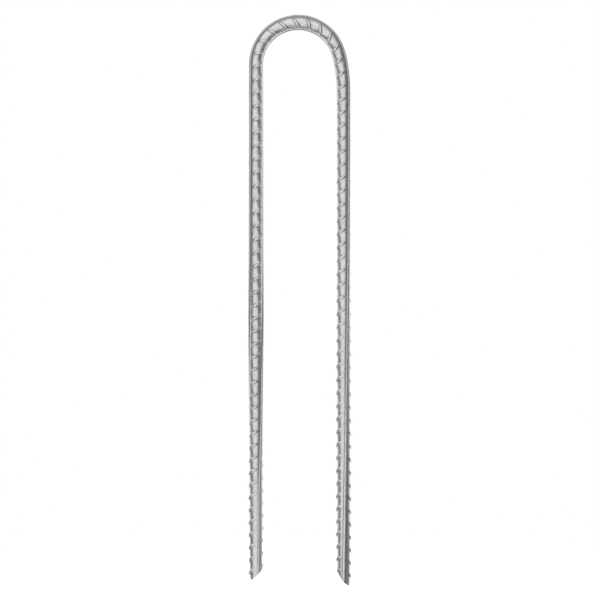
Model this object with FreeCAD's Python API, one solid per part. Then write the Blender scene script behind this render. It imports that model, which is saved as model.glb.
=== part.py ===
import FreeCAD, Part
import math
import os

# Tent stake: one length of deformed (ribbed) steel bar, rolled, bent to a tall U and sheared to a
# point on the outer side of each end. It is one continuous piece with no joints.
#
# Millimetres and degrees. +Z is up, the U lies in the XZ plane and the origin is midway between
# the two leg axes, at the height where the left leg meets the bend. The bar is described by its
# centre line, run from the left tip up, over the crown and down to the right tip. At each point
# FRONT (-Y) and OUT (away from the inside of the U) span the bar's cross-section.

# ---------------------------------------------------------------- driving dimensions
OVERALL_HEIGHT = 406.0       # top of the crown's round core to the lower tip
LEG_SPACING = 62.5           # between the two leg axes
CORE_DIAMETER = 9.3          # the round bar, under its ribs
EASING_RADIUS = 103.0        # last stretch of the bend, where it runs out into the right leg
EASING_ANGLE = 15.0          # how much of the turn that stretch makes
TIP_STAGGER = 3.2            # the left tip ends this much above the right one

LEFT_CUT_SLOPE = 42.0        # sheared ends: rise of the cut towards the inside of the U
LEFT_CUT_TILT = 6.0          # and its lean towards the front
RIGHT_CUT_SLOPE = 47.5
RIGHT_CUT_TILT = 23.0

KEEL_HEIGHT = 0.85           # the two lengthwise ribs, opposite each other
KEEL_TOP = 1.5
KEEL_BASE = 2.4
KEEL_ROOT = 0.75             # where they are rooted, as a share of the core's radius

RIB_PITCH = 9.29             # crescent ribs, one row on each side between the lengthwise ribs
RIB_HEIGHT = 0.93
RIB_BASE = 2.9
RIB_TOP = 1.4
RIB_LEAN = 32.0              # from square across the bar
RIB_REACH = 58.0             # each side of the middle of its face, where the crescent runs out
RIB_ROOT = 0.9               # where it is rooted, as a share of how far in its two ends lie
RIB_START = 5.5              # first rib of the first row, from the left tip
BACK_ROW_SHIFT = 2.9         # the second row lags the first by this much
PITCH_WANDER = ((-2.8, 0.5), (-1.3, 0.7))   # slow sine and cosine drift of the rolled pitch

# How the bar twists along its length: pairs of place along the bar, from 0 at the left tip to 1
# at the right one, and angle from FRONT to the outer lengthwise rib. Even between the pairs.
TWIST_STOPS = (
    (0.0, 152.0), (0.072, 148.0), (0.138, 123.0), (0.18, 113.0), (0.24, 84.0), (0.282, 69.0),
    (0.441, 60.0), (0.501, 74.0), (0.54, 60.0), (0.672, 50.0), (0.72, 46.0), (0.767, 38.0),
    (1.0, -2.0))

# ---------------------------------------------------------------- derived sizes
CORE_RADIUS = CORE_DIAMETER / 2
EASING = math.radians(EASING_ANGLE)
BEND_RADIUS = (LEG_SPACING - EASING_RADIUS * (1 - math.cos(EASING))) / (1 + math.cos(EASING))
LEFT_X = -LEG_SPACING / 2
RIGHT_X = LEG_SPACING / 2
BEND_X = LEFT_X + BEND_RADIUS
EASING_X = RIGHT_X - EASING_RADIUS
EASING_Z = -(EASING_RADIUS - BEND_RADIUS) * math.sin(EASING)
RIGHT_TIP_Z = BEND_RADIUS + CORE_RADIUS - OVERALL_HEIGHT
LEFT_TIP_Z = RIGHT_TIP_Z + TIP_STAGGER

LEFT_LEG = -LEFT_TIP_Z
MAIN_BEND = BEND_RADIUS * (math.pi - EASING)
EASED_BEND = EASING_RADIUS * EASING
RIGHT_LEG = EASING_Z - RIGHT_TIP_Z
BAR_LENGTH = LEFT_LEG + MAIN_BEND + EASED_BEND + RIGHT_LEG

BEND_END = LEFT_LEG + MAIN_BEND + EASED_BEND

OVERRUN = 2 * CORE_DIAMETER  # bar left past each tip until the ends are cut
OFFCUT = 6 * CORE_DIAMETER   # side of the block that the shear takes off
LEG_STEP = 20.0              # spacing of the lengthwise ribs' sections on a leg
BEND_STEP = 5.0              # and round the bend

FRONT = FreeCAD.Vector(0, -1, 0)
BEND_CENTRE = FreeCAD.Vector(BEND_X, 0, 0)
EASING_CENTRE = FreeCAD.Vector(EASING_X, 0, EASING_Z)


def station(s):
    """Point on the centre line, direction of travel and OUT, s along the bar from the left tip."""
    if s <= LEFT_LEG:
        point = FreeCAD.Vector(LEFT_X, 0, LEFT_TIP_Z + s)
        return point, FreeCAD.Vector(0, 0, 1), FreeCAD.Vector(-1, 0, 0)
    s = s - LEFT_LEG
    if s <= MAIN_BEND:
        turn = math.pi - s / BEND_RADIUS
        out = FreeCAD.Vector(math.cos(turn), 0, math.sin(turn))
        return BEND_CENTRE + out * BEND_RADIUS, travel(out), out
    s = s - MAIN_BEND
    if s <= EASED_BEND:
        turn = EASING - s / EASING_RADIUS
        out = FreeCAD.Vector(math.cos(turn), 0, math.sin(turn))
        return EASING_CENTRE + out * EASING_RADIUS, travel(out), out
    s = s - EASED_BEND
    point = FreeCAD.Vector(RIGHT_X, 0, EASING_Z - s)
    return point, FreeCAD.Vector(0, 0, -1), FreeCAD.Vector(1, 0, 0)


def travel(out):
    """Direction of travel where OUT is known: a quarter turn on from it, clockwise from the front."""
    return FreeCAD.Vector(out.z, 0, -out.x)


def share(s):
    """Place along the bar, from 0 at the left tip to 1 at the right one."""
    return s / BAR_LENGTH


def keel_angle(s):
    """Angle in degrees from FRONT towards OUT of the outer lengthwise rib."""
    u = min(max(share(s), 0.0), 1.0)
    for (start, first), (end, last) in zip(TWIST_STOPS, TWIST_STOPS[1:]):
        if u <= end:
            return first + (last - first) * (u - start) / (end - start)


def rib_place(number):
    """Distance along the bar of a rib of the first row."""
    s = RIB_START + number * RIB_PITCH
    u = share(s)
    for wave, (sine, cosine) in enumerate(PITCH_WANDER, start=1):
        s += sine * math.sin(2 * math.pi * wave * u)
        s += cosine * math.cos(2 * math.pi * wave * u)
    return s


def local_frame(s, angle):
    """Placement on the bar: X out of the bar at the angle, Z along the bar."""
    point, along, out = station(s)
    a = math.radians(angle)
    x = FRONT * math.cos(a) + out * math.sin(a)
    y = along.cross(x)
    matrix = FreeCAD.Matrix(
        x.x, y.x, along.x, point.x,
        x.y, y.y, along.y, point.y,
        x.z, y.z, along.z, point.z,
        0, 0, 0, 1)
    return FreeCAD.Placement(matrix)


def round_core():
    """The bar without its ribs: two straight legs and the two arcs between them."""
    left = Part.makeCylinder(
        CORE_RADIUS, LEFT_LEG + OVERRUN,
        FreeCAD.Vector(LEFT_X, 0, LEFT_TIP_Z - OVERRUN), FreeCAD.Vector(0, 0, 1))
    right = Part.makeCylinder(
        CORE_RADIUS, RIGHT_LEG + OVERRUN,
        FreeCAD.Vector(RIGHT_X, 0, RIGHT_TIP_Z - OVERRUN), FreeCAD.Vector(0, 0, 1))
    main = bent_stretch(LEFT_LEG, BEND_CENTRE, 180 - EASING_ANGLE)
    eased = bent_stretch(LEFT_LEG + MAIN_BEND, EASING_CENTRE, EASING_ANGLE)
    return left.fuse([main, eased, right])


def bent_stretch(s, centre, angle):
    """Round bar turned about a bend centre, from the station s on."""
    point, along, _ = station(s)
    circle = Part.Wire(Part.makeCircle(CORE_RADIUS, point, along))
    return Part.Face(circle).revolve(centre, FreeCAD.Vector(0, 1, 0), angle)


def stations(start, end, step):
    """Even stations from start to end, both included, about step apart."""
    count = max(1, round((end - start) / step))
    return [start + (end - start) * i / count for i in range(count + 1)]


def keel_section(s, side):
    """Outline of a lengthwise rib across the bar: a low trapezium that is rooted in the core."""
    root = KEEL_ROOT * CORE_RADIUS
    flank = (KEEL_BASE - KEEL_TOP) / 2 / KEEL_HEIGHT
    root_half = KEEL_BASE / 2 + flank * (CORE_RADIUS - root)
    crest = CORE_RADIUS + KEEL_HEIGHT
    outline = [(root, -root_half), (crest, -KEEL_TOP / 2), (crest, KEEL_TOP / 2), (root, root_half)]
    points = [FreeCAD.Vector(x, y, 0) for x, y in outline]
    wire = Part.makePolygon(points + points[:1])
    wire.Placement = local_frame(s, keel_angle(s) + side)
    return wire


def keel(side):
    """One lengthwise rib over the whole bar, carried round by the bar's twist, in three lengths
    that meet where the bend meets the legs."""
    left = stations(-OVERRUN, LEFT_LEG, LEG_STEP)
    bend = stations(LEFT_LEG, BEND_END, BEND_STEP)
    right = stations(BEND_END, BAR_LENGTH + OVERRUN, LEG_STEP)
    lengths = []
    for stops in (left, bend, right):
        lengths.append(Part.makeLoft([keel_section(s, side) for s in stops], True, False))
    return lengths


def crescent(lean):
    """A crescent rib at the middle of its face: a leaning slab with sloped flanks, cut to a
    shallow round that sinks into the core at the rib's two ends."""
    crest = CORE_RADIUS + RIB_HEIGHT
    reach = math.radians(RIB_REACH)
    offset = (crest ** 2 - CORE_RADIUS ** 2) / 2 / (crest - CORE_RADIUS * math.cos(reach))
    envelope_radius = crest - offset
    root = RIB_ROOT * CORE_RADIUS * math.cos(reach)
    half = crest / math.cos(math.radians(lean))
    outline = [
        (root, RIB_BASE / 2), (CORE_RADIUS, RIB_BASE / 2), (crest, RIB_TOP / 2),
        (crest, -RIB_TOP / 2), (CORE_RADIUS, -RIB_BASE / 2), (root, -RIB_BASE / 2)]
    points = [FreeCAD.Vector(x, -half, z) for x, z in outline]
    slab = Part.Face(Part.makePolygon(points + points[:1])).extrude(FreeCAD.Vector(0, 2 * half, 0))
    slab.rotate(FreeCAD.Vector(0, 0, 0), FreeCAD.Vector(1, 0, 0), lean)
    past_slab = 2 * crest
    envelope = Part.makeCylinder(
        envelope_radius, 2 * past_slab, FreeCAD.Vector(offset, 0, -past_slab),
        FreeCAD.Vector(0, 0, 1))
    return slab.common(envelope)


def crescent_row(lean, side, shift):
    """All crescents of one face, leaning one way, from past one tip to past the other."""
    master = crescent(lean)
    ribs = []
    number = -1              # the rib before the first, which the left end's cut may still meet
    while rib_place(number) + shift < BAR_LENGTH + RIB_PITCH:
        s = rib_place(number) + shift
        rib = master.copy()
        rib.Placement = local_frame(s, keel_angle(s) + side)
        ribs.append(rib)
        number += 1
    return ribs


def past_the_cut(x, tip_z, inward, slope, tilt):
    """The block of stock that the shear takes off one end. The cut rises towards the inside of
    the U and leans to the front, and its lowest point on the round core is the tip."""
    rise = math.tan(math.radians(slope))
    lean = math.tan(math.radians(tilt))
    drop = CORE_RADIUS * math.hypot(rise, lean)
    corner = FreeCAD.Vector(-OFFCUT / 2, -OFFCUT / 2, -OFFCUT)
    block = Part.makeBox(OFFCUT, OFFCUT, OFFCUT, corner)
    normal = FreeCAD.Vector(-inward * rise, -lean, 1)
    block.Placement = FreeCAD.Placement(
        FreeCAD.Vector(x, 0, tip_z + drop), FreeCAD.Rotation(FreeCAD.Vector(0, 0, 1), normal))
    return block


def stake_bar():
    """The whole stake: core, lengthwise ribs and crescents in one solid, with its ends sheared.
    A crumb of a crescent that the shear cuts off from its root falls away with the offcut."""
    bar = round_core().fuse(keel(0) + keel(180))
    bar = bar.fuse(crescent_row(RIB_LEAN, -90, 0) + crescent_row(-RIB_LEAN, 90, BACK_ROW_SHIFT))
    left_end = past_the_cut(LEFT_X, LEFT_TIP_Z, 1, LEFT_CUT_SLOPE, LEFT_CUT_TILT)
    right_end = past_the_cut(RIGHT_X, RIGHT_TIP_Z, -1, RIGHT_CUT_SLOPE, RIGHT_CUT_TILT)
    sheared = bar.cut([left_end, right_end])
    return max(sheared.Solids, key=lambda solid: solid.Volume)


def main():
    os.makedirs("parts", exist_ok=True)
    bar = stake_bar()
    print("stake_bar solids", len(bar.Solids), "valid", bar.isValid(), "volume", round(bar.Volume, 1))
    bar.exportStep("parts/stake_bar.step")


main()
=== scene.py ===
import logging
import math
from dataclasses import dataclass
from enum import Enum

import bpy
import numpy as np
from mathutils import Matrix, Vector


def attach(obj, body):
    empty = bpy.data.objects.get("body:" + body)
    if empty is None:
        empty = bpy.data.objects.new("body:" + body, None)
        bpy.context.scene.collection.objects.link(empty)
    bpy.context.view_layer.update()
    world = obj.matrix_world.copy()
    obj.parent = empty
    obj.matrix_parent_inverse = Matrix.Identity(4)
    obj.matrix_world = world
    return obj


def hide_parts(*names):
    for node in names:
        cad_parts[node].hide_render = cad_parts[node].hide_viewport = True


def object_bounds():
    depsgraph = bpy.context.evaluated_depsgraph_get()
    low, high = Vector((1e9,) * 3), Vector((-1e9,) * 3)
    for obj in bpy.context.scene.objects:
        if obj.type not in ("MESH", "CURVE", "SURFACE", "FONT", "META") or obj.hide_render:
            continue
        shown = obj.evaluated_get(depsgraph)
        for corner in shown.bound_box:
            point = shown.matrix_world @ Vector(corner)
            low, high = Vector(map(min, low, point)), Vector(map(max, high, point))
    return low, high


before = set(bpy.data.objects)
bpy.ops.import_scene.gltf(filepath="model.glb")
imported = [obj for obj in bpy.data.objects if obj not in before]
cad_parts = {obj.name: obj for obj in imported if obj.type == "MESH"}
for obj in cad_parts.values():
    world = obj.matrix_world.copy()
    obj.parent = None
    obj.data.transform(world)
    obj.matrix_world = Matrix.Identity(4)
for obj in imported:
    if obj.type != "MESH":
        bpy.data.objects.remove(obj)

# The looks of a U-shaped ground stake: one ribbed steel bar, bent, sheared and galvanised.
# Metres throughout, in the CAD's frame: the U lies in the XZ plane and its front looks along -Y.

MM = 0.001
NODE = "stake_bar"
SLOT = "galvanised_steel"
PIECE = "galvanised_stake_bar"
CORE_RADIUS = 4.65 * MM
CAD_LOW, CAD_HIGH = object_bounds()

Socket = bpy.types.NodeSocket
Colour = tuple[float, float, float]

log = logging.getLogger("stake")


class End(Enum):
    """One of the bar's two sheared ends; the value is the sign of X towards the inside of the U."""

    LEFT = 1.0
    RIGHT = -1.0


def smooth_step(x: np.ndarray) -> np.ndarray:
    """Cubic ease from 0 to 1: 3x^2 - 2x^3 on the clipped input.

    Args:
        x: Values, of which only the part from 0 to 1 matters.

    Returns:
        The eased values.
    """
    x = np.clip(x, 0.0, 1.0)
    return x * x * (3.0 - 2.0 * x)


def soft_ramp(x: np.ndarray, softness: float) -> np.ndarray:
    """The larger of x and 0 with its corner rounded: half of x plus the root of x^2 + softness^2.

    Args:
        x: Values to clip from below at 0.
        softness: Size of the rounded corner.

    Returns:
        The softly clipped values.
    """
    return 0.5 * (x + np.sqrt(x * x + softness * softness))


def bell(x: np.ndarray, half_width: float) -> np.ndarray:
    """A bell curve round 0 that is 1 at its top: e to the minus (x / half_width)^2."""
    return np.exp(-((x / half_width) ** 2))


@dataclass(frozen=True)
class CentreLine:
    """The line that the bar follows, from the left tip over the crown to the right tip."""

    spacing: float = 62.5 * MM
    easing_radius: float = 103.0 * MM
    easing: float = math.radians(15.0)
    height: float = 406.0 * MM
    stagger: float = 3.2 * MM
    core_radius: float = CORE_RADIUS

    @property
    def bend_radius(self) -> float:
        """Radius of the main bend, which the leg spacing and the easing arc leave over."""
        run = self.spacing - self.easing_radius * (1.0 - math.cos(self.easing))
        return run / (1.0 + math.cos(self.easing))

    @property
    def easing_z(self) -> float:
        """Height of the easing arc's centre, where the right leg begins."""
        return -(self.easing_radius - self.bend_radius) * math.sin(self.easing)

    def tip_z(self, end: End) -> float:
        """Height of one tip of the round core."""
        low = self.bend_radius + self.core_radius - self.height
        return low + self.stagger if end is End.LEFT else low

    def leg_x(self, end: End) -> float:
        """X of one leg's axis."""
        return -end.value * self.spacing / 2.0

    @property
    def breaks(self) -> tuple[float, float, float, float]:
        """Where one stretch of the line gives way to the next.

        Returns:
            Distances along the line to the ends of the left leg, main bend, easing and right leg.
        """
        left = -self.tip_z(End.LEFT)
        main = left + self.bend_radius * (math.pi - self.easing)
        eased = main + self.easing_radius * self.easing
        return left, main, eased, eased + self.easing_z - self.tip_z(End.RIGHT)

    @property
    def length(self) -> float:
        """Length of the whole line."""
        return self.breaks[3]

    def share(self, s: np.ndarray) -> np.ndarray:
        """Place along the bar, from 0 at the left tip to 1 at the right one."""
        return s / self.length

    def at(self, s: np.ndarray) -> tuple[np.ndarray, np.ndarray]:
        """Points of the line: straight, then round the bend's centre, then the easing's, then straight.

        Args:
            s: Distances from the left tip, of any shape.

        Returns:
            Points and unit vectors that point out of the U, each with a last axis of X and Z.
        """
        left, main, eased, _ = self.breaks
        bend_x = self.leg_x(End.LEFT) + self.bend_radius
        ease_x = self.leg_x(End.RIGHT) - self.easing_radius
        turn_main = math.pi - (s - left) / self.bend_radius
        turn_ease = self.easing - (s - main) / self.easing_radius
        turn = np.where(s < left, math.pi, np.where(s < main, turn_main, turn_ease))
        turn = np.where(s > eased, 0.0, turn)
        out = np.stack([np.cos(turn), np.sin(turn)], axis=-1)
        in_main = s < main
        radius = np.where(in_main, self.bend_radius, self.easing_radius)
        centre_x = np.where(in_main, bend_x, ease_x)
        centre_z = np.where(in_main, 0.0, self.easing_z)
        straight = np.minimum(s - left, 0.0) - np.maximum(s - eased, 0.0)
        x = centre_x + radius * out[..., 0]
        z = centre_z + radius * out[..., 1] + straight
        return np.stack([x, z], axis=-1), out


@dataclass(frozen=True)
class RolledRibs:
    """The relief that rolling leaves on the bar: two lengthwise keels and two rows of crescents."""

    core_radius: float = CORE_RADIUS
    keel_height: float = 0.85 * MM
    keel_top: float = 1.5 * MM
    keel_base: float = 2.4 * MM
    rib_height: float = 0.93 * MM
    rib_top: float = 1.3 * MM
    rib_base: float = 2.3 * MM
    lean: float = math.radians(32.0)
    reach: float = math.radians(58.0)
    pitch: float = 9.29 * MM
    start: float = 5.5 * MM
    row_shift: float = 2.9 * MM
    row_fade: float = math.radians(28.0)
    wander: tuple[tuple[float, float], ...] = ((-2.8 * MM, 0.5 * MM), (-1.3 * MM, 0.7 * MM))
    twist: tuple[tuple[float, float], ...] = (
        (0.0, 152.0), (0.072, 148.0), (0.138, 123.0), (0.18, 113.0), (0.24, 84.0), (0.282, 69.0),
        (0.441, 60.0), (0.501, 74.0), (0.54, 60.0), (0.672, 50.0), (0.72, 46.0), (0.767, 38.0), (1.0, -2.0),
    )
    corner: float = 0.09 * MM
    keel_corner: float = 0.2 * MM

    def keel_angle(self, share: np.ndarray) -> np.ndarray:
        """Angle in radians from the front to the outer keel, even between two stops of the twist."""
        places, angles = zip(*self.twist)
        return np.radians(np.interp(share, places, angles))

    def rib_place(self, number: np.ndarray, line: CentreLine) -> np.ndarray:
        """Distance along the bar of a rib, or of a place between two.

        The ribs stand at an even pitch plus a slow drift of two sine waves over the bar's length.

        Args:
            number: Places along the bar in ribs.
            line: The bar's centre line.

        Returns:
            Distances from the left tip.
        """
        s = self.start + number * self.pitch
        u = 2.0 * math.pi * line.share(s)
        for wave, (sine, cosine) in enumerate(self.wander, start=1):
            s = s + sine * np.sin(wave * u) + cosine * np.cos(wave * u)
        return s

    def slant(self, around: np.ndarray) -> np.ndarray:
        """How far a rib's line runs along the bar at each angle from the keel.

        A leaning plane cuts the round bar in a sine of the angle, so each row follows
        radius * tan(lean) * sin(angle from its middle), one row leaning each way, and the second
        row's shift fades in and out across the keels.

        Args:
            around: Angles from the outer keel in radians, from 0 to a full turn.

        Returns:
            Shifts along the bar in metres.
        """
        side = np.cos(around)
        wave = -side * self.core_radius * math.tan(self.lean)
        blend = smooth_step(0.5 + np.sin(around) / (2.0 * math.sin(self.row_fade)))
        return wave + self.row_shift * blend

    def off_keel(self, around: np.ndarray) -> np.ndarray:
        """Length of arc on the core from the middle of the nearer keel."""
        return np.abs((around + math.pi / 2.0) % math.pi - math.pi / 2.0) * self.core_radius

    def keel_relief(self, around: np.ndarray) -> np.ndarray:
        """Height of the keels: a trapezium across the arc from the nearer keel, corners rounded.

        Args:
            around: Angles from the outer keel in radians.

        Returns:
            Heights over the core.
        """
        slope = 2.0 * self.keel_height / (self.keel_base - self.keel_top)
        fall = slope * soft_ramp(self.off_keel(around) - self.keel_top / 2.0, self.keel_corner)
        return soft_ramp(self.keel_height - fall, self.corner)

    def crescent_crest(self, around: np.ndarray) -> np.ndarray:
        """Height of a crescent's crest: a circle through the crest at the middle of the face that
        sinks into the core at the reach on both sides.

        Args:
            around: Angles from the outer keel in radians.

        Returns:
            Heights over the core, negative past the reach.
        """
        crest = self.core_radius + self.rib_height
        offset = (crest**2 - self.core_radius**2) / 2.0
        offset = offset / (crest - self.core_radius * math.cos(self.reach))
        circle = crest - offset
        off_middle = (around % math.pi) - math.pi / 2.0
        root = np.sqrt(circle**2 - (offset * np.sin(off_middle)) ** 2)
        return offset * np.cos(off_middle) + root - self.core_radius

    def crescent_relief(self, around: np.ndarray, off_rib: np.ndarray) -> np.ndarray:
        """Height of the crescents: the crest's height less a flank that falls off square to the rib.

        Args:
            around: Angles from the outer keel in radians.
            off_rib: Distances along the bar from the nearest rib's line.

        Returns:
            Heights over the core.
        """
        tangent = math.tan(self.lean) * np.sin(around)
        square = np.abs(off_rib) / np.sqrt(1.0 + tangent**2)
        slope = 2.0 * self.rib_height / (self.rib_base - self.rib_top)
        fall = slope * soft_ramp(square - self.rib_top / 2.0, self.corner)
        return soft_ramp(self.crescent_crest(around) - fall, self.corner)


@dataclass(frozen=True)
class Shear:
    """A sheared end: a cut that rises towards the inside of the U and towards the back and bulges
    down along the leg's middle, with its point dragged in towards the leg's axis."""

    end: End
    slope: float
    tilt: float
    draw_in: float
    bulge: float
    draw_reach: float = 6.0 * MM
    deepest: float = 1.2

    def height(self, line: CentreLine, x: np.ndarray, y: np.ndarray) -> np.ndarray:
        """Z of the cut over points beside the leg's axis.

        Args:
            line: The bar's centre line.
            x: Distances from the leg's axis along X.
            y: Distances from the leg's axis along Y.

        Returns:
            Heights of the cut, whose plane has its lowest point on the core at the tip. The bulge
            takes bulge * (1 - (x / core radius)^2) off it.
        """
        rise, lean = math.tan(self.slope), math.tan(self.tilt)
        drop = line.core_radius * math.hypot(rise, lean)
        plane = line.tip_z(self.end) + drop + self.end.value * rise * x + lean * y
        return plane - self.bulge * (1.0 - (x / line.core_radius) ** 2)

    def normal(self) -> np.ndarray:
        """Unit vector square to the cut that points up into the bar."""
        across = np.array([-self.end.value * math.tan(self.slope), -math.tan(self.tilt), 1.0])
        return across / np.linalg.norm(across)

    def drag(self, line: CentreLine, point: np.ndarray) -> np.ndarray:
        """Bends the bar in towards the U near this end's point, as the blade drags it.

        The shift is draw_in times the square of how deep a point lies in the last draw_reach,
        where the tip of the core counts as 1. Only points on this end's leg move.

        Args:
            line: The bar's centre line.
            point: Points on the skin.

        Returns:
            The shifted points.
        """
        above_tip = (point[..., 2] - line.tip_z(self.end)) / self.draw_reach
        deep = np.clip(1.0 - above_tip, 0.0, self.deepest)
        own_leg = self.end.value * point[..., 0] < 0.0
        moved = point.copy()
        moved[..., 0] += self.end.value * self.draw_in * deep**2 * own_leg
        return moved


@dataclass(frozen=True)
class TornFace:
    """The slow unevenness of a sheared face: one coarse wave each way, and a finer slanting one."""

    wave_x: float = 1.3 * MM
    wave_y: float = 1.7 * MM
    coarse: tuple[float, float] = (2.1, 1.7)
    fine: tuple[float, float] = (4.3, 3.1)
    phase: float = 1.0
    fine_part: float = 0.5
    height: float = 0.07 * MM
    fade: float = 6.0

    def at(self, x: np.ndarray, y: np.ndarray) -> np.ndarray:
        """Unevenness at points of the face: the product of two sines plus part of a finer one.

        Args:
            x: X of the points.
            y: Y of the points.

        Returns:
            Values of about -1 to 1.
        """
        x, y = x / self.wave_x, y / self.wave_y
        coarse = np.sin(self.coarse[0] * x + self.phase) * np.sin(self.coarse[1] * y)
        return coarse + self.fine_part * np.sin(self.fine[0] * x + self.fine[1] * y)


@dataclass(frozen=True)
class Wobble:
    """Slow unevenness of a hot-dipped surface: a sum of sine waves with seeded directions."""

    seed: int = 3
    waves: int = 14
    shortest: float = 3.0 * MM
    longest: float = 22.0 * MM
    height: float = 0.035 * MM

    def at(self, s: np.ndarray, around: np.ndarray, radius: float) -> np.ndarray:
        """Value of the sum, which closes round the bar because each wave turns a whole number of times.

        Args:
            s: Distances along the bar.
            around: Angles round the bar in radians.
            radius: The bar's radius, which turns a wavelength into a number of turns.

        Returns:
            Values of about -1 to 1.
        """
        rng = np.random.default_rng(self.seed)
        total = np.zeros(np.broadcast(s, around).shape)
        for _ in range(self.waves):
            length = rng.uniform(self.shortest, self.longest)
            heading = rng.uniform(0.0, 2.0 * math.pi)
            turns = round(2.0 * math.pi * radius / length * math.sin(heading))
            along = 2.0 * math.pi / length * math.cos(heading)
            total += np.sin(along * s + turns * around + rng.uniform(0.0, 2.0 * math.pi))
        return total / math.sqrt(self.waves)


@dataclass(frozen=True)
class Drip:
    """One drip of zinc beside the outer keel of the left leg: a bell-shaped bump."""

    at: float = 267.0 * MM
    off_keel: float = -0.6 * MM
    height: float = 0.22 * MM
    half_length: float = 1.6 * MM
    half_width: float = 0.9 * MM

    def bump(self, s: np.ndarray, arc: np.ndarray) -> np.ndarray:
        """Height of the drip over the bar.

        Args:
            s: Distances along the bar.
            arc: Lengths of arc from the outer keel.

        Returns:
            Heights over the skin.
        """
        along = (s - self.at) / self.half_length
        across = (arc - self.off_keel) / self.half_width
        return self.height * np.exp(-(along**2) - across**2)


@dataclass(frozen=True)
class ShadeLines:
    """Painted shade on the zinc: darkening beside the keels, more on some sides than on others,
    and a little at the feet of the crescents, where shade falls in the grooves.

    A keel's first side is where the sine of the angle from the outer keel is negative. Each pair
    is a place along the bar, as a share of its length, and the width from there over which a value
    goes from 0 to 1, negative where that is towards the left tip.
    """

    # Strength of the painted shade on each side of each keel, the weakest first.
    faintest: float = 0.2
    outer_second: float = 0.9
    inner_first: float = 0.6
    outer_first_ends: tuple[float, float] = (0.80, 0.08)
    inner_second_ends: tuple[float, float] = (0.17, -0.06)
    inner_first_starts: tuple[float, float] = (0.06, 0.04)
    inner_first_ends: tuple[float, float] = (0.25, -0.05)
    flank: float = 0.5
    flank_width: float = 0.3 * MM
    foot_gap: float = 0.15 * MM
    foot_width: float = 0.5 * MM
    crescent: float = 0.4
    crescent_width: float = 0.3 * MM
    crescent_fade: float = 0.4 * MM
    crescent_overlap: float = 0.4
    low_height: float = 0.6 * MM

    @staticmethod
    def fade(share: np.ndarray, ends: tuple[float, float]) -> np.ndarray:
        """Eases from 0 to 1 from a place along the bar, over a width."""
        return smooth_step((share - ends[0]) / ends[1])

    def by_keel(self, share: np.ndarray, around: np.ndarray, ribs: RolledRibs) -> np.ndarray:
        """Painted shade along the keels: a bell at each foot and a lower one on each flank.

        Args:
            share: Places along the bar from 0 to 1.
            around: Angles from the outer keel.
            ribs: The bar's relief.

        Returns:
            Values from 0 to 1.
        """
        outer = np.cos(around) > 0.0
        outer_first = 1.0 - (1.0 - self.faintest) * self.fade(share, self.outer_first_ends)
        inner_second = self.faintest + (1.0 - self.faintest) * self.fade(share, self.inner_second_ends)
        # How much painted shade the inner keel's first side gets along the bar.
        painted_light = self.fade(share, self.inner_first_ends) * self.fade(share, self.inner_first_starts)
        first = np.where(outer, outer_first, self.faintest + self.inner_first * painted_light)
        second = np.where(outer, self.outer_second, inner_second)
        side = np.where(np.sin(around) < 0.0, first, second)
        arc = ribs.off_keel(around)
        flank = self.flank * bell(arc - (ribs.keel_base + ribs.keel_top) / 4.0, self.flank_width)
        foot = bell(arc - ribs.keel_base / 2.0 - self.foot_gap, self.foot_width)
        return side * np.maximum(foot, flank)

    def by_crescent(self, number: np.ndarray, around: np.ndarray, ribs: RolledRibs) -> np.ndarray:
        """Painted shade along the crescents: a bell at the foot of each flank, out to the rib's ends.

        Args:
            number: Places along the bar in ribs.
            around: Angles from the outer keel.
            ribs: The bar's relief.

        Returns:
            Values from 0 to 1.
        """
        off_rib = np.abs(number - np.round(number)) * ribs.pitch
        foot = bell(off_rib - ribs.rib_base / 2.0 / math.cos(ribs.lean), self.crescent_width)
        beside = ribs.crescent_crest(around) / self.crescent_fade + self.crescent_overlap
        return self.crescent * foot * smooth_step(beside)


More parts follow.
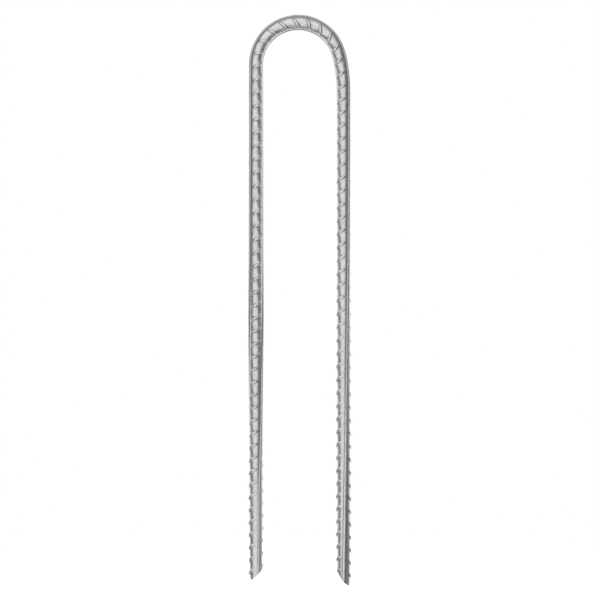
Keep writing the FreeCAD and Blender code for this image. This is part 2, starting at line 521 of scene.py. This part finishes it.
class NodeTree:
    """A short hand for the shader nodes that the finish uses."""

    def __init__(self, material: bpy.types.Material) -> None:
        """Takes the tree of a material whose nodes are on.

        Args:
            material: The material to build in.
        """
        self.tree = material.node_tree
        self.nodes = material.node_tree.nodes
        self.shader = self.nodes["Principled BSDF"]

    def link(self, source: Socket, name: str) -> None:
        """Feeds a socket of the Principled shader."""
        self.tree.links.new(source, self.shader.inputs[name])

    def feed(self, node: bpy.types.Node, index: int, value: Socket | Colour | float) -> None:
        """Sets a node's input, by a link if value is a socket and as a constant otherwise.

        Args:
            node: The node.
            index: Number of the input.
            value: What goes in. A colour is given without its alpha.
        """
        if isinstance(value, Socket):
            self.tree.links.new(value, node.inputs[index])
        elif isinstance(value, tuple):
            node.inputs[index].default_value = (*value, 1.0)
        else:
            node.inputs[index].default_value = value

    def coordinates(self, name: str) -> Socket:
        """An output of the Texture Coordinate node."""
        return self.nodes.new("ShaderNodeTexCoord").outputs[name]

    def stretched(self, name: str, scale: tuple[float, float, float]) -> Socket:
        """Coordinates that a Mapping node scales by axis.

        Args:
            name: Output of the Texture Coordinate node.
            scale: Factor along each axis.

        Returns:
            The scaled coordinates.
        """
        mapping = self.nodes.new("ShaderNodeMapping")
        mapping.inputs["Scale"].default_value = scale
        self.tree.links.new(self.coordinates(name), mapping.inputs["Vector"])
        return mapping.outputs["Vector"]

    def noise(self, vector: Socket, scale: float, detail: float) -> Socket:
        """A fractal noise.

        Args:
            vector: Coordinates to read it at.
            scale: Lumps to a unit of the coordinates.
            detail: Number of finer layers.

        Returns:
            Its value, from 0 to 1.
        """
        node = self.nodes.new("ShaderNodeTexNoise")
        node.inputs["Scale"].default_value = scale
        node.inputs["Detail"].default_value = detail
        self.tree.links.new(vector, node.inputs["Vector"])
        return node.outputs["Fac"]

    def attribute(self, name: str) -> Socket:
        """A value that the mesh carries at its vertices.

        Args:
            name: Name of the attribute.

        Returns:
            Its value.
        """
        node = self.nodes.new("ShaderNodeAttribute")
        node.attribute_name = name
        return node.outputs["Fac"]

    def ramp(self, value: Socket, ends: tuple[float, float]) -> Socket:
        """A value stretched so that one number gives 0 and another 1, and clipped to those.

        Args:
            value: The value.
            ends: What gives 0, and what gives 1.

        Returns:
            The stretched value.
        """
        node = self.nodes.new("ShaderNodeMapRange")
        node.inputs["From Min"].default_value = ends[0]
        node.inputs["From Max"].default_value = ends[1]
        self.tree.links.new(value, node.inputs["Value"])
        return node.outputs["Result"]

    def scaled(self, value: Socket, factor: float) -> Socket:
        """A value times a factor.

        Args:
            value: The value.
            factor: The factor.

        Returns:
            Their product.
        """
        node = self.nodes.new("ShaderNodeMath")
        node.operation = "MULTIPLY"
        node.inputs[1].default_value = factor
        self.tree.links.new(value, node.inputs[0])
        return node.outputs[0]

    def sum_of(self, first: Socket, second: Socket | float) -> Socket:
        """Two values added up.

        Args:
            first: The first value.
            second: The second value or a number.

        Returns:
            Their sum.
        """
        node = self.nodes.new("ShaderNodeMath")
        self.feed(node, 0, first)
        self.feed(node, 1, second)
        return node.outputs[0]

    def mix_colour(self, first: Socket | Colour, second: Socket | Colour, factor: Socket) -> Socket:
        """A colour that goes from the first to the second with the factor.

        Args:
            first: Colour at a factor of 0.
            second: Colour at a factor of 1.
            factor: The factor.

        Returns:
            The mixed colour.
        """
        node = self.nodes.new("ShaderNodeMix")
        node.data_type = "RGBA"
        for index, value in ((0, factor), (6, first), (7, second)):
            self.feed(node, index, value)
        return node.outputs[2]

    def bump(self, height: Socket, strength: float, distance: float) -> Socket:
        """A normal bent by a height map.

        Args:
            height: The map, from 0 to 1.
            strength: How far the normal follows it.
            distance: Height in metres that 1 stands for.

        Returns:
            The normal.
        """
        node = self.nodes.new("ShaderNodeBump")
        node.inputs["Strength"].default_value = strength
        node.inputs["Distance"].default_value = distance
        self.tree.links.new(height, node.inputs["Height"])
        return node.outputs["Normal"]


@dataclass(frozen=True)
class GalvanisedSteel:
    """Galvanised mild steel: grey zinc, mottled, rougher and with painted shade in the valleys, and with a
    painted highlight on the crests.
    """

    zinc: Colour = (0.66, 0.665, 0.675)
    dull: Colour = (0.40, 0.405, 0.415)
    # Colour of the painted shade in the grooves, then of the painted highlight on the crests.
    shade_tone: Colour = (0.17, 0.17, 0.175)
    bright: Colour = (0.80, 0.805, 0.81)
    spangle_scale: float = 420.0
    spangle_detail: float = 4.0
    spangle_ends: tuple[float, float] = (0.12, 0.62)
    grain_scale: float = 2600.0
    grain_detail: float = 3.0
    streak_stretch: tuple[float, float, float] = (900.0, 60.0, 1.0)
    streak_detail: float = 5.0
    streak_ends: tuple[float, float] = (0.58, 0.86)
    # How much painted highlight the crests get, and how dark the painted shade goes.
    crest_shine: float = 0.1
    shade_depth: float = 0.95
    least_roughness: float = 0.30
    spangle_roughness: float = 0.12
    shade_roughness: float = 0.12
    grain_part: float = 0.55
    spangle_part: float = 0.45
    bump_strength: float = 0.35
    bump_height: float = 0.06 * MM

    def make(self) -> bpy.types.Material:
        """Builds the material from Object coordinates, the bar's own map and its two attributes.

        Returns:
            The finished material.
        """
        material = bpy.data.materials.new(SLOT)
        material.use_nodes = True
        tree = NodeTree(material)
        tree.shader.inputs["Metallic"].default_value = 1.0
        spangle = tree.noise(tree.coordinates("Object"), self.spangle_scale, self.spangle_detail)
        # The painted shade's mask: it darkens the colour and also makes the zinc rougher.
        painted_shade = tree.attribute("painted_shade")
        tree.link(self._colour(tree, spangle, painted_shade), "Base Color")
        uneven = tree.sum_of(
            tree.scaled(spangle, self.spangle_roughness), tree.scaled(painted_shade, self.shade_roughness)
        )
        tree.link(tree.sum_of(uneven, self.least_roughness), "Roughness")
        grain = tree.noise(tree.coordinates("Object"), self.grain_scale, self.grain_detail)
        height = tree.sum_of(tree.scaled(grain, self.grain_part), tree.scaled(spangle, self.spangle_part))
        tree.link(tree.bump(height, self.bump_strength, self.bump_height), "Normal")
        return material

    def _colour(self, tree: NodeTree, spangle: Socket, painted_shade: Socket) -> Socket:
        """Zinc mottled by its crystals, then a painted highlight on the crests, painted shade in the
        grooves and streaks along the bar.

        Args:
            tree: The material's nodes.
            spangle: The crystals' noise.
            painted_shade: Painted shade, from 0 to 1.

        Returns:
            The colour.
        """
        mottle = tree.mix_colour(self.dull, self.zinc, tree.ramp(spangle, self.spangle_ends))
        # Painted highlight: the crests are made lighter in proportion to their relief height.
        crest = tree.scaled(tree.attribute("relief"), self.crest_shine)
        painted_light = tree.mix_colour(mottle, self.bright, crest)
        # Painted shade: the colour goes towards dark grey in the grooves beside the keels and at the
        # crescents' feet.
        toned = tree.mix_colour(painted_light, self.shade_tone, tree.scaled(painted_shade, self.shade_depth))
        streak = tree.noise(tree.stretched("UV", self.streak_stretch), 1.0, self.streak_detail)
        return tree.mix_colour(toned, self.dull, tree.ramp(streak, self.streak_ends))


@dataclass
class Skin:
    """A closed skin as a grid of rows along the bar and columns round it, with values to shade it by."""

    point: np.ndarray
    along: np.ndarray
    around: np.ndarray
    relief: np.ndarray
    # Painted shade in the grooves, from 0 to 1.
    painted_shade: np.ndarray
    merged: np.ndarray
    cap_rings: int
    cap_step: float = 0.5 * MM

    def corners(self) -> tuple[np.ndarray, np.ndarray]:
        """Faces of the grid as four corners each, going round the seam to the first column again.

        Returns:
            Merged vertex numbers, and row and column of each corner, where the column may be one
            past the last.
        """
        rows, columns = self.merged.shape
        row, column = np.meshgrid(np.arange(rows - 1), np.arange(columns), indexing="ij")
        row_of = np.stack([row, row + 1, row + 1, row], axis=-1)
        column_of = np.stack([column, column, column + 1, column + 1], axis=-1)
        place = np.stack([row_of, column_of], axis=-1).reshape(-1, 4, 2)
        wrapped = place[..., 1] % columns
        kept_row = self.merged[place[..., 0], wrapped]
        middle = (kept_row == 0) | (kept_row == rows - 1)
        return kept_row * columns + np.where(middle, 0, wrapped), place

    def mesh(self, name: str, radius: float) -> bpy.types.Mesh:
        """Makes the mesh: squares where four corners differ, triangles where two share a place.

        Args:
            name: The mesh's name.
            radius: Radius that turns an angle round the bar into an arc in the map.

        Returns:
            The mesh, smooth, with its map and its shading values.
        """
        vertex, place = self.corners()
        left, right = vertex[:, 0] == vertex[:, 1], vertex[:, 2] == vertex[:, 3]
        low, high = vertex[:, 0] == vertex[:, 3], vertex[:, 1] == vertex[:, 2]
        picks = (
            (~(left | right | low | high), [0, 1, 2, 3]),
            ((left | high) & ~(right | low), [0, 2, 3]),
            ((right | low) & ~(left | high), [0, 1, 2]),
        )
        faces = [vertex[mask][:, pick] for mask, pick in picks]
        places = [place[mask][:, pick].reshape(-1, 2) for mask, pick in picks]
        numbers = np.concatenate([face.ravel() for face in faces])
        used, packed = np.unique(numbers, return_inverse=True)
        parts = np.split(packed.ravel(), np.cumsum([face.size for face in faces])[:-1])
        lists = [part.reshape(face.shape).tolist() for part, face in zip(parts, faces)]
        mesh = bpy.data.meshes.new(name)
        mesh.from_pydata(self.point.reshape(-1, 3)[used], [], sum(lists, []))
        mesh.shade_smooth()
        self.put_map(mesh, np.concatenate(places), radius)
        for label, grid in (("relief", self.relief), ("painted_shade", self.painted_shade)):
            values = grid.ravel()[used].astype(np.float32)
            mesh.attributes.new(label, "FLOAT", "POINT").data.foreach_set("value", values)
        return mesh

    def put_map(self, mesh: bpy.types.Mesh, place: np.ndarray, radius: float) -> None:
        """Gives the mesh a map in metres: the arc round the bar across, the distance along it up.

        On a cap the map goes on inwards from the rim, a step a ring.

        Args:
            mesh: The mesh.
            place: Row and column of each face corner.
            radius: Radius that turns an angle into an arc.
        """
        rows, columns = self.around.shape
        row, turns, column = place[:, 0], place[:, 1] // columns, place[:, 1] % columns
        arc = (self.around[row, column] + 2.0 * math.pi * turns) * radius
        left_rings = np.maximum(self.cap_rings - row, 0)
        right_rings = np.maximum(row - rows + 1 + self.cap_rings, 0)
        along = self.along[row, column] - self.cap_step * (left_rings - right_rings)
        layer = mesh.uv_layers.new(name="BarMap")
        layer.data.foreach_set("uv", np.stack([arc, along], axis=-1).astype(np.float32).ravel())


@dataclass
class StakeBar:
    """The stake's one piece: a ribbed bar bent to a U, with sheared ends, as one closed skin.

    The stops are in millimetres: distances from a keel's middle, and from a crescent's line.
    """

    line: CentreLine = CentreLine()
    ribs: RolledRibs = RolledRibs()
    finish: GalvanisedSteel = GalvanisedSteel()
    left_cut: Shear = Shear(End.LEFT, math.radians(42.0), math.radians(6.0), 0.9 * MM, 0.2 * MM)
    right_cut: Shear = Shear(End.RIGHT, math.radians(47.5), math.radians(23.0), 0.25 * MM, 0.9 * MM)
    torn: TornFace = TornFace()
    coating: Wobble = Wobble()
    drip: Drip = Drip()
    # Where shade is painted into the zinc's colour.
    shade_lines: ShadeLines = ShadeLines()
    rib_spread: float = 0.07
    rib_turn: float = 2.399
    rib_swing: float = 2.0
    keel_stops: tuple[float, ...] = (0.0, 0.35, 0.6, 0.75, 0.9, 1.05, 1.2, 1.4, 1.8)
    face_steps: int = 24
    rib_stops: tuple[float, ...] = (0.0, 0.55, 0.76, 0.97, 1.22, 1.8)
    first_rib: int = -2
    spare_ribs: int = 3
    table_margin: float = 4.0
    table_size: int = 8001
    rim_steps: int = 40
    rim_damping: float = 0.5
    edge_round: float = 0.22 * MM
    edge_turns: tuple[float, ...] = (30.0, 60.0, 90.0)
    cap_rings: tuple[float, ...] = (0.88, 0.74, 0.58, 0.42, 0.26, 0.12)

    def columns(self) -> np.ndarray:
        """Angles round the bar from the outer keel: close over the keels, even over the faces.

        Returns:
            Rising angles in radians over one turn, the last short of the first by one step.
        """
        stops = np.array(self.keel_stops) * MM / self.ribs.core_radius
        keel = np.concatenate([-stops[:0:-1], stops])
        face = np.linspace(stops[-1], math.pi - stops[-1], self.face_steps + 1)[1:-1]
        half = np.concatenate([keel, face])
        return np.concatenate([half, half + math.pi])

    def rows(self) -> np.ndarray:
        """Places along the bar in ribs, close over each rib's crest and flanks.

        Returns:
            Rising places, from before the left tip to past the right one.
        """
        stops = np.array(self.rib_stops) * MM / self.ribs.pitch
        one = np.concatenate([-stops[:0:-1], stops, [0.5]])
        count = math.ceil(self.line.length / self.ribs.pitch) + self.spare_ribs
        return (np.arange(self.first_rib, count)[:, None] + one[None, :]).ravel()

    def relief(self, number: np.ndarray, around: np.ndarray) -> np.ndarray:
        """Height of the rolled relief over the core.

        Args:
            number: Places along the bar in ribs.
            around: Angles from the outer keel.

        Returns:
            The higher of keel and crescent, where each rib's height is a little its own.
        """
        nearest = np.round(number)
        own = np.sin(nearest * self.rib_turn + self.rib_swing * np.sin(nearest))
        crescents = self.ribs.crescent_relief(around, (number - nearest) * self.ribs.pitch)
        return np.maximum(self.ribs.keel_relief(around), crescents * (1.0 + self.rib_spread * own))

    def rib_number(self, s: np.ndarray, around: np.ndarray) -> np.ndarray:
        """Place in ribs of points on the skin: the rib law read backwards from a fine table.

        Args:
            s: Distances along the bar.
            around: Angles from the outer keel.

        Returns:
            Places along the bar in ribs.
        """
        last = self.line.length / self.ribs.pitch + self.table_margin
        table = np.linspace(-self.table_margin, last, self.table_size)
        return np.interp(s - self.ribs.slant(around), self.ribs.rib_place(table, self.line), table)

    def radius(self, number: np.ndarray, s: np.ndarray, around: np.ndarray) -> np.ndarray:
        """Distance of the skin from the centre line: core, relief, coating and the drip added up.

        Args:
            number: Places along the bar in ribs.
            s: Distances along the bar.
            around: Angles from the outer keel.

        Returns:
            Distances from the centre line.
        """
        wobble = self.coating.at(s, around, self.ribs.core_radius)
        arc = ((around + math.pi) % (2.0 * math.pi) - math.pi) * self.ribs.core_radius
        skin = self.ribs.core_radius + self.relief(number, around) + self.coating.height * wobble
        return skin + self.drip.bump(s, arc)

    def place(self, s: np.ndarray, around: np.ndarray, radius: np.ndarray) -> np.ndarray:
        """Points on the skin: out of the centre line by the radius, at the keel's angle plus around.

        Args:
            s: Distances along the bar.
            around: Angles from the outer keel.
            radius: Distances from the centre line.

        Returns:
            Points with a last axis of X, Y, Z.
        """
        centre, out = self.line.at(s)
        angle = self.ribs.keel_angle(self.line.share(s)) + around
        outward = radius * np.sin(angle)
        x = centre[..., 0] + outward * out[..., 0]
        y = -radius * np.cos(angle)
        z = centre[..., 1] + outward * out[..., 1]
        return np.stack([x, y, z], axis=-1)

    def rim(self, cut: Shear, around: np.ndarray) -> tuple[np.ndarray, np.ndarray]:
        """Where each column of the skin meets a cut, less the rounded edge, by stepping onto it.

        Args:
            cut: The sheared end.
            around: Angles from the outer keel.

        Returns:
            Distances along the bar and distances from the centre line.
        """
        s = np.full(around.shape, 0.0 if cut.end is End.LEFT else self.line.length)
        for _ in range(self.rim_steps):
            radius = self.radius(self.rib_number(s, around), s, around)
            point = self.place(s, around, radius)
            beside = point[..., 0] - self.line.leg_x(cut.end)
            gap = cut.height(self.line, beside, point[..., 1]) - point[..., 2]
            short = gap + self.edge_round / math.cos(cut.slope)
            s = s + self.rim_damping * cut.end.value * short
        return s, radius

    def cap(self, cut: Shear, rim: np.ndarray) -> np.ndarray:
        """The sheared face: a rounded edge, shrinking rings and the middle point, all on the cut.

        The edge turns over a quarter circle from the skin to the cut. The face itself rises and
        falls by a slow unevenness, as torn steel does, which fades out towards the edge.

        Args:
            cut: The sheared end.
            rim: The skin's last points, one a column.

        Returns:
            Rings of points from the edge inwards, the last of them all at the middle.
        """
        normal = cut.normal()
        middle = rim.mean(axis=0)
        spoke = rim - middle
        size = np.linalg.norm(spoke, axis=-1, keepdims=True)
        turn = np.radians(self.edge_turns)
        inset = self.edge_round * (1.0 - np.cos(turn))
        edge = [1.0 - step / size for step in inset] + [1.0 - 2.0 * self.edge_round / size]
        inner = [np.full_like(size, ring) for ring in self.cap_rings] + [np.zeros_like(size)]
        scale = np.stack(edge + inner)
        flat = np.full(len(inner) + 1, self.edge_round)
        depth = np.concatenate([self.edge_round * np.sin(turn), flat])
        ring = middle + spoke * scale - normal * depth[:, None, None]
        uneven = self.torn.at(ring[..., 0], ring[..., 1])[..., None]
        fade = smooth_step((1.0 - scale) * self.torn.fade)
        return ring + normal * self.torn.height * uneven * fade

    def skin(self) -> Skin:
        """The bar's whole skin as one grid: left cap, ribbed rows and right cap.

        The rows follow the ribs' slant and the columns follow the keels. Rows past an end's cut
        all stop on its rim, and are merged later.

        Returns:
            The grid.
        """
        number, around = np.meshgrid(self.rows(), self.columns(), indexing="ij")
        s = self.ribs.rib_place(number, self.line) + self.ribs.slant(around)
        low_s, low_radius = self.rim(self.left_cut, around[0])
        high_s, high_radius = self.rim(self.right_cut, around[0])
        below, above = s <= low_s, s >= high_s
        radius = self.radius(number, s, around)
        radius = np.where(below, low_radius, np.where(above, high_radius, radius))
        s = np.clip(s, low_s, high_s)
        point = self.place(s, around, radius)
        height = self.relief(self.rib_number(s, around), around)
        left = self.cap(self.left_cut, point[0])[::-1]
        right = self.cap(self.right_cut, point[-1])
        rings = left.shape[0]
        point = self.left_cut.drag(self.line, np.concatenate([left, point, right]))
        return Skin(
            point=self.right_cut.drag(self.line, point),
            along=self.spread(s, rings),
            around=self.spread(around, rings),
            relief=self.spread(height / self.ribs.rib_height, rings),
            painted_shade=self.spread(self.painted_shade(number, s, around, height), rings),
            merged=self.merged(below, above, rings),
            cap_rings=rings,
        )

    @staticmethod
    def spread(grid: np.ndarray, rings: int) -> np.ndarray:
        """A grid of values carried over both caps by repeating its first and last rows."""
        return np.concatenate([np.repeat(grid[:1], rings, 0), grid, np.repeat(grid[-1:], rings, 0)])

    @staticmethod
    def merged(below: np.ndarray, above: np.ndarray, rings: int) -> np.ndarray:
        """Row with which each vertex shares its place: its own, a rim's or a cap's middle.

        Args:
            below: True where a row of the ribbed part stops on the left rim.
            above: True where a row stops on the right rim.
            rings: Rows of each cap.

        Returns:
            Row numbers of the whole grid.
        """
        rows, columns = below.shape
        own = np.arange(rows)[:, None] + np.zeros((1, columns), int)
        own = np.where(below, 0, np.where(above, rows - 1, own)) + rings
        low = np.repeat(np.arange(rings)[:, None], columns, 1)
        high = low + rings + rows
        return np.concatenate([low, own, high])

    def painted_shade(
        self, number: np.ndarray, s: np.ndarray, around: np.ndarray, height: np.ndarray
    ) -> np.ndarray:
        """Painted shade: darkest beside the keels, and some at the crescents' feet, low down.

        Args:
            number: Places along the bar in ribs.
            s: Distances along the bar.
            around: Angles from the outer keel.
            height: Relief over the core.

        Returns:
            Values from 0 to 1.
        """
        low = 1.0 - np.clip(height / self.shade_lines.low_height, 0.0, 1.0)
        by_crescent = self.shade_lines.by_crescent(number, around, self.ribs) * low
        return np.maximum(self.shade_lines.by_keel(self.line.share(s), around, self.ribs), by_crescent)

    def build(self) -> bpy.types.Object:
        """Makes the bar's mesh object, gives it its finish and puts it in the scene.

        Returns:
            The stake's object.
        """
        mesh = self.skin().mesh(PIECE, self.ribs.core_radius)
        mesh.materials.append(self.finish.make())
        piece = bpy.data.objects.new(PIECE, mesh)
        bpy.context.scene.collection.objects.link(piece)
        return piece


@dataclass(frozen=True)
class SoftBox:
    """A rectangular studio lamp that looks at the stake."""

    name: str
    azimuth: float
    elevation: float
    distance: float
    width: float
    height: float
    brightness: float

    def make(self, target: Vector) -> None:
        """Puts the lamp round the target: azimuth 0 is the front and 90 the right side.

        Args:
            target: The point that it looks at.
        """
        lamp = bpy.data.lights.new(self.name, "AREA")
        lamp.shape = "RECTANGLE"
        lamp.size = self.width
        lamp.size_y = self.height
        lamp.energy = self.brightness * math.pi * self.width * self.height
        turn, rise = math.radians(self.azimuth), math.radians(self.elevation)
        flat = math.cos(rise)
        back = Vector((math.sin(turn) * flat, -math.cos(turn) * flat, math.sin(rise)))
        holder = bpy.data.objects.new(self.name, lamp)
        holder.location = target + back * self.distance
        holder.rotation_mode = "QUATERNION"
        holder.rotation_quaternion = (-back).to_track_quat("-Z", "Y")
        holder.visible_camera = False
        bpy.context.scene.collection.objects.link(holder)


@dataclass(frozen=True)
class Studio:
    """A pale floor, soft boxes, an even surround and the camera in front of the stake."""

    boxes: tuple[SoftBox, ...] = (
        SoftBox("front_box", -14.0, 6.0, 1.2, 2.1, 3.0, 0.94),
        SoftBox("top_box", 0.0, 70.0, 1.5, 2.4, 1.6, 0.5),
        SoftBox("low_box", 0.0, -70.0, 1.5, 1.6, 1.6, 0.5),
        SoftBox("left_rim_box", -124.0, 0.0, 1.2, 1.0, 2.4, 0.62),
        SoftBox("right_rim_box", 124.0, 0.0, 1.2, 1.0, 2.4, 0.62),
        SoftBox("back_box", 180.0, 0.0, 1.2, 2.4, 2.8, 1.0),
    )
    surround: float = 0.24
    floor_tone: float = 0.9
    floor_roughness: float = 0.9
    floor_glow: float = 0.9
    floor_radius: float = 0.35
    floor_corners: int = 96
    lens: float = 135.0
    sensor: float = 36.0
    sight: float = 20.0
    view_width: float = 0.4281
    view_centre: tuple[float, float] = (0.00014, -0.1680)

    def build(self, low: Vector) -> None:
        """Makes the floor under the stake, the surround, the lamps and the camera.

        Args:
            low: The lowest corner of the stake's box.
        """
        self.floor(low.z)
        self.world()
        target = Vector((0.0, 0.0, self.view_centre[1]))
        for box in self.boxes:
            box.make(target)
        self.camera()
        bpy.context.scene.view_settings.view_transform = "Standard"

    def floor(self, height: float) -> None:
        """A round floor just under the tips, as one flat face that also glows.

        Args:
            height: Z of the floor.
        """
        turn = np.linspace(0.0, 2.0 * math.pi, self.floor_corners, endpoint=False)
        ring = np.stack([np.cos(turn), np.sin(turn), np.zeros_like(turn)], axis=-1) * self.floor_radius
        mesh = bpy.data.meshes.new("floor")
        mesh.from_pydata(ring + (0.0, 0.0, height), [], [list(range(self.floor_corners))])
        floor = bpy.data.objects.new("floor", mesh)
        material = bpy.data.materials.new("pale_floor")
        material.use_nodes = True
        shader = material.node_tree.nodes["Principled BSDF"]
        shader.inputs["Base Color"].default_value = (self.floor_tone,) * 3 + (1.0,)
        shader.inputs["Roughness"].default_value = self.floor_roughness
        shader.inputs["Specular IOR Level"].default_value = 0.0
        shader.inputs["Emission Color"].default_value = (1.0, 1.0, 1.0, 1.0)
        shader.inputs["Emission Strength"].default_value = self.floor_glow
        mesh.materials.append(material)
        floor.visible_glossy = False
        floor.visible_shadow = False
        bpy.context.scene.collection.objects.link(floor)

    def world(self) -> None:
        """A white surround to look at and a greyer one to light the steel with."""
        world = bpy.data.worlds.new("surround")
        world.use_nodes = True
        nodes, links = world.node_tree.nodes, world.node_tree.links
        grey = nodes["Background"]
        grey.inputs["Color"].default_value = (self.surround,) * 3 + (1.0,)
        white = nodes.new("ShaderNodeBackground")
        white.inputs["Color"].default_value = (1.0, 1.0, 1.0, 1.0)
        mix = nodes.new("ShaderNodeMixShader")
        rays = nodes.new("ShaderNodeLightPath")
        links.new(rays.outputs["Is Camera Ray"], mix.inputs[0])
        links.new(grey.outputs[0], mix.inputs[1])
        links.new(white.outputs[0], mix.inputs[2])
        links.new(mix.outputs[0], nodes["World Output"].inputs[0])
        bpy.context.scene.world = world

    def camera(self) -> None:
        """A long lens square to the U, far enough back to see the view's width at the stake."""
        data = bpy.data.cameras.new("camera")
        data.lens = self.lens
        data.sensor_width = self.sensor
        data.clip_end = self.sight
        camera = bpy.data.objects.new("camera", data)
        distance = self.view_width * self.lens / self.sensor
        camera.location = (self.view_centre[0], -distance, self.view_centre[1])
        camera.rotation_euler = (math.pi / 2.0, 0.0, 0.0)
        bpy.context.scene.collection.objects.link(camera)
        bpy.context.scene.camera = camera


def write_sizes() -> None:
    """Updates the view layer."""
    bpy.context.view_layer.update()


def main() -> None:
    """Builds the stake and its studio."""
    logging.basicConfig(level=logging.INFO, format="%(name)s: %(message)s")
    bar = StakeBar()
    piece = bar.build()
    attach(piece, "root")
    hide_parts(NODE)
    log.info("%s: %d vertices, %d faces", piece.name, len(piece.data.vertices), len(piece.data.polygons))
    Studio().build(CAD_LOW)
    write_sizes()


if __name__ == "__main__":
    main()
